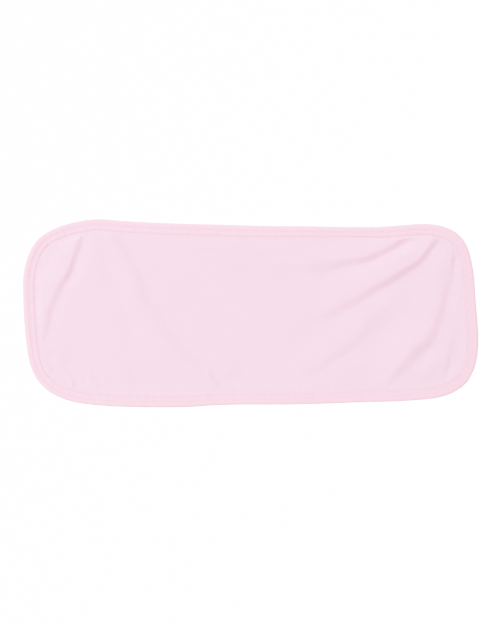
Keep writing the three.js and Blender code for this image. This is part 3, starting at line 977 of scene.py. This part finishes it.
class BurpClothStudio(bpy.types.PropertyGroup):
    """Camera and light"""
    lens: FloatProperty(name="Lens", description="Focal length of the camera, in millimetres",
                        default=85, unit="CAMERA")
    view_height: FloatProperty(name="View height", description="Height that the upright picture takes in",
                               default=0.7138, unit="LENGTH")
    sky: FloatProperty(name="Sky", description="Strength of the even light from all round",
                       default=0.924)
    key: FloatProperty(name="Key light", description="Power of the large soft lamp at the top left",
                       default=500.0, unit="POWER")


def adopt(piece, node=None):
    """Hand a finished piece to the frame, in place of a node where one is named."""
    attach(piece, "root")
    if node:
        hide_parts(node)


class BURP_OT_panel(bpy.types.Operator):
    """Make the knitted panel with its folds"""
    bl_idname = "burp_cloth.panel"
    bl_label = "Cloth panel"

    def execute(self, context):
        adopt(make_panel(), "cloth_panel")
        return {"FINISHED"}


class BURP_OT_binding(bpy.types.Operator):
    """Make the folded binding round the edge"""
    bl_idname = "burp_cloth.binding"
    bl_label = "Edge binding"

    def execute(self, context):
        adopt(make_binding(), "edge_binding")
        return {"FINISHED"}


class BURP_OT_stitching(bpy.types.Operator):
    """Sew the two needle rows and the looping thread of the binding"""
    bl_idname = "burp_cloth.stitching"
    bl_label = "Stitching"

    def execute(self, context):
        edge = Edge(LENGTH, WIDTH)
        rows = [
            stitches("outer_needle_row", edge, lambda width: OUTER_ROW_INSET + 0 * width),
            stitches("inner_needle_row", edge, lambda width: width - INNER_ROW_FROM_LIP),
            looper("looping_thread", edge),
        ]
        for row in rows:
            adopt(row)
        return {"FINISHED"}


class BURP_OT_studio(bpy.types.Operator):
    """Set up the floor, the lights and the camera straight above"""
    bl_idname = "burp_cloth.studio"
    bl_label = "Studio"

    def execute(self, context):
        make_floor()
        make_lights()
        make_camera()
        return {"FINISHED"}


def make_floor():
    """Plain pale floor just under the cloth, lit through a little so that it stays pure white."""
    ways = ((-1, -1), (1, -1), (1, 1), (-1, 1))
    corners = np.array([(x * FLOOR_HALF, y * FLOOR_HALF, -FLOOR_DROP) for x, y in ways]) / MM
    finish = Finish("pale_floor")
    finish.shader.inputs["Base Color"].default_value = (FLOOR_GREY, FLOOR_GREY, FLOOR_GREY, 1)
    finish.shader.inputs["Roughness"].default_value = 0.9
    finish.shader.inputs["Specular IOR Level"].default_value = 0.1
    finish.shader.inputs["Emission Color"].default_value = (1, 1, 1, 1)
    finish.shader.inputs["Emission Strength"].default_value = FLOOR_GLOW
    floor = mesh_piece("floor", corners, [(0, 1, 2, 3)], finish.material)


def make_lights():
    """Even light from all round, and one large soft lamp at the top left that shades the folds."""
    scene = bpy.context.scene
    world = bpy.data.worlds.new("even_light")
    world.use_nodes = True
    sky = world.node_tree.nodes["Background"]
    sky.inputs["Color"].default_value = (1, 1, 1, 1)
    sky.inputs["Strength"].default_value = studio().sky
    scene.world = world
    lamp = bpy.data.lights.new("key", "AREA")
    lamp.shape = "SQUARE"
    lamp.size = KEY_SIZE
    lamp.energy = studio().key
    key = bpy.data.objects.new("key", lamp)
    key.location = KEY_PLACE
    aim = -key.location
    key.rotation_euler = aim.to_track_quat("-Z", "Y").to_euler()
    scene.collection.objects.link(key)


def make_camera():
    """Camera straight above the middle of the picture, its height worked out from the lens and the
    height that the upright picture takes in."""
    scene = bpy.context.scene
    lens = bpy.data.cameras.new("camera")
    lens.lens = studio().lens
    lens.sensor_width = SENSOR
    distance = studio().view_height * lens.lens / lens.sensor_width
    camera = bpy.data.objects.new("camera", lens)
    camera.location = (*CAMERA_OVER, distance)
    scene.collection.objects.link(camera)
    scene.camera = camera
    scene.view_settings.view_transform = "Standard"
    soften_bright_end(scene.view_settings)


def soften_bright_end(view):
    """Curve of the picture that leaves all but the brightest tones as they are and lets those run
    gently up to white, as film does. It is the fourth curve, which acts on all three colours."""
    view.use_curve_mapping = True
    curves = view.curve_mapping
    curves.white_level = (BRIGHTEST, BRIGHTEST, BRIGHTEST)
    line = curves.curves[3].points
    for light, shown in SHOULDER:
        line.new(light / BRIGHTEST, shown)
    line[-1].location = (1.0, 1.0)
    curves.update()


class BURP_PT_cloth(bpy.types.Panel):
    """Lists the pieces of the cloth and their settings"""
    bl_label = "Burp cloth"
    bl_space_type = "VIEW_3D"
    bl_region_type = "UI"
    bl_category = "Cloth"

    def draw(self, context):
        for group in (sizes(), colours(), studio()):
            for name in group.bl_rna.properties.keys():
                if name not in ("rna_type", "name"):
                    self.layout.prop(group, name)
        for step in STEPS:
            self.layout.operator(step.bl_idname)


STEPS = (BURP_OT_panel, BURP_OT_binding, BURP_OT_stitching, BURP_OT_studio)
GROUPS = {
    "burp_cloth_sizes": BurpClothSizes,
    "burp_cloth_colours": BurpClothColours,
    "burp_cloth_studio": BurpClothStudio,
}


def register():
    for made in (*GROUPS.values(), *STEPS, BURP_PT_cloth):
        bpy.utils.register_class(made)
    for name, group in GROUPS.items():
        setattr(bpy.types.Scene, name, PointerProperty(type=group))


def unregister():
    for name in GROUPS:
        delattr(bpy.types.Scene, name)
    for made in (BURP_PT_cloth, *reversed(STEPS), *GROUPS.values()):
        bpy.utils.unregister_class(made)


def main():
    """Make every piece and the studio."""
    register()
    bpy.ops.burp_cloth.panel()
    bpy.ops.burp_cloth.binding()
    bpy.ops.burp_cloth.stitching()
    bpy.ops.burp_cloth.studio()


if __name__ == "__main__":
    main()
